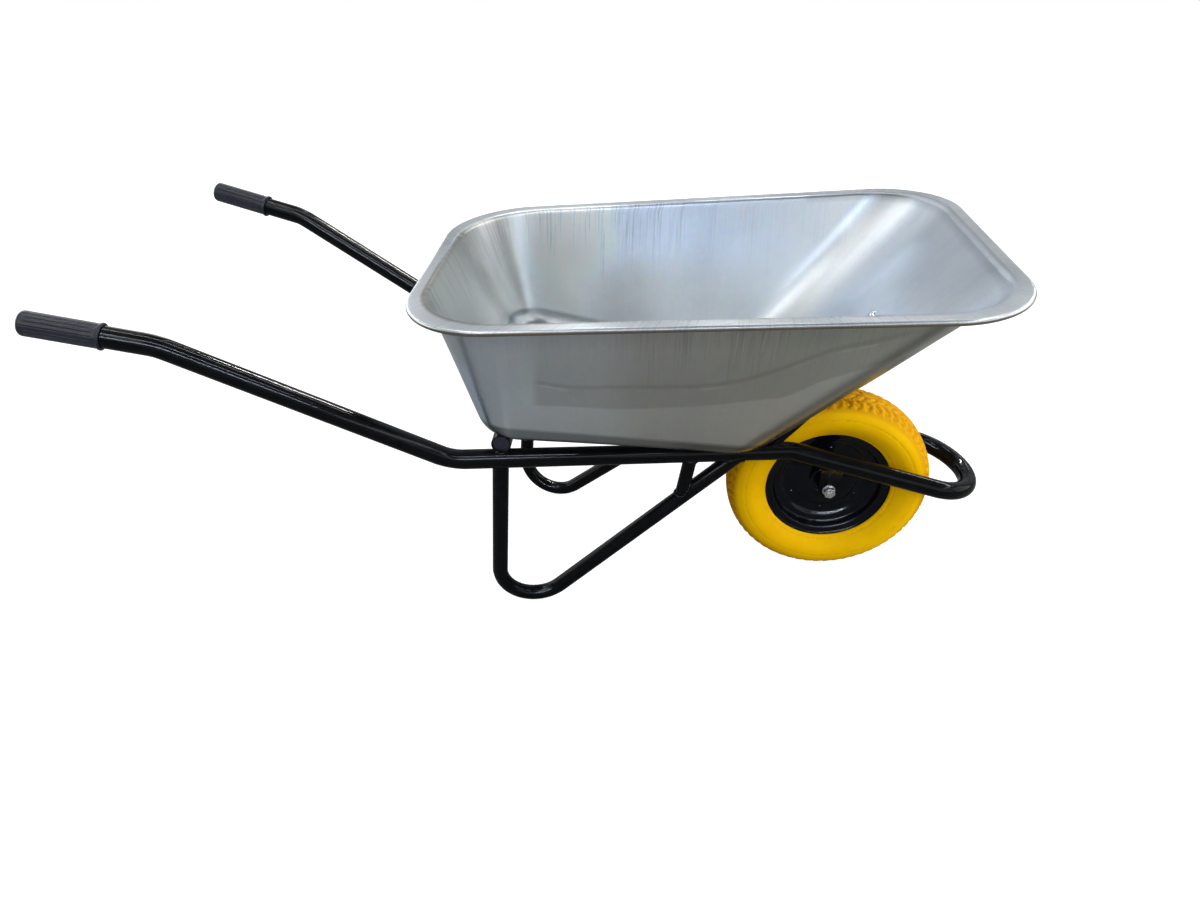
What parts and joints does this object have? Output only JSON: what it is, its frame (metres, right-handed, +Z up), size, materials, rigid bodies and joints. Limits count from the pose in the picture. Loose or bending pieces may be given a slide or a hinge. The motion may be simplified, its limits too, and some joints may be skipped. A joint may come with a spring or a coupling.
{
  "type": "wheelbarrow",
  "caption": "Builder's wheelbarrow with a deep pressed steel tray, a bent tube frame with standing legs and ribbed grips, and a foam tyre on a freely turning ball-bearing wheel.",
  "frame": {"origin": "middle of the footprint box, on the ground that the wheel and the two feet stand on", "axes": "+X points forwards, to the wheel; +Y to the left of the person pushing; +Z up"},
  "size_m": [1.5147, 0.6604, 0.6697],
  "materials": {
    "frame_enamel": "gloss",
    "rim_enamel": "gloss",
    "tray_galvanised": "satin",
    "zinc_fastener": "satin",
    "bearing_steel": "polished",
    "seal_rubber": "matte",
    "grip_plastic": "satin",
    "tyre_foam": "matte"
  },
  "bodies": {
    "chassis": {"frame_tube": "frame_enamel", "leg_left": "frame_enamel", "leg_right": "frame_enamel", "rear_crossbar": "frame_enamel", "crossbar_plugs": "grip_plastic", "front_cross_plate": "frame_enamel", "strut_left": "frame_enamel", "strut_right": "frame_enamel", "axle_bracket_left": "frame_enamel", "axle_bracket_right": "frame_enamel", "front_stay": "frame_enamel", "front_stay_plate": "frame_enamel", "grip_left": "grip_plastic", "grip_right": "grip_plastic", "tray": "tray_galvanised", "tray_rim_wire": "tray_galvanised", "tray_bolts": "zinc_fastener", "tray_washers": "zinc_fastener", "tray_nuts": "zinc_fastener", "axle_bolt": "zinc_fastener", "axle_nut": "zinc_fastener", "axle_washers": "zinc_fastener", "axle_collars": "zinc_fastener", "axle_spacer": "bearing_steel", "bearing_inner_races": "bearing_steel"},
    "wheel": {"bearing_balls": "bearing_steel", "bearing_outer_races": "bearing_steel", "bearing_seals": "seal_rubber", "hub_tube": "rim_enamel", "rim_left": "rim_enamel", "rim_right": "rim_enamel", "rim_rivets": "rim_enamel", "tyre": "tyre_foam"}
  },
  "joints": [
    {"name": "wheel_spin", "type": "hinge", "parent": "chassis", "child": "wheel", "pos_m": [0.48189, 0, 0.19], "axis": [0, 1, 0], "continuous": true}
  ]
}
